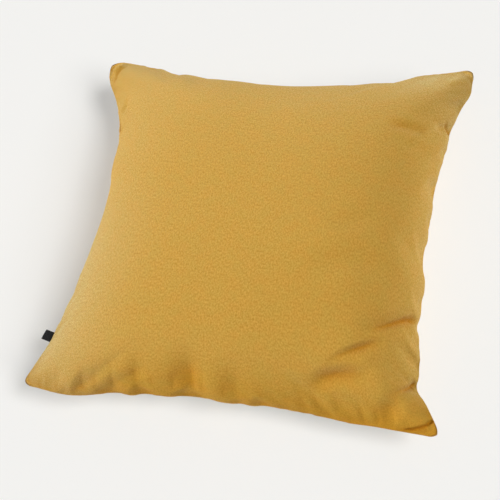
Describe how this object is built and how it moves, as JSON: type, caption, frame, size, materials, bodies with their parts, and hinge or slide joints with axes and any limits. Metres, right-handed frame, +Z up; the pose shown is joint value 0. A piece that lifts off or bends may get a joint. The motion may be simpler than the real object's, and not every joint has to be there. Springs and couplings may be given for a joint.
{
  "type": "filled cushion cover",
  "caption": "Square plain-weave cushion cover filled with its pad, with a high crown, drawn-in sides, pointed ears, creases at its lower right ear and a small folded label in the side seam.",
  "frame": {"origin": "On the rest plane, under the middle of the whole object's plan", "axes": "+X runs across the cushion from the side with the label to the plain side, +Y toward its top edge, away from the creased ear, and +Z up from the rest plane through the crown of the front"},
  "size_m": [0.4518, 0.4274, 0.1234],
  "materials": {
    "cover_cloth": "matt crepe weave, mustard yellow",
    "label_tape": "matt woven tape, black"
  },
  "bodies": {
    "root": {"cushion": "cover_cloth", "seam_label": "label_tape"}
  },
  "joints": []
}
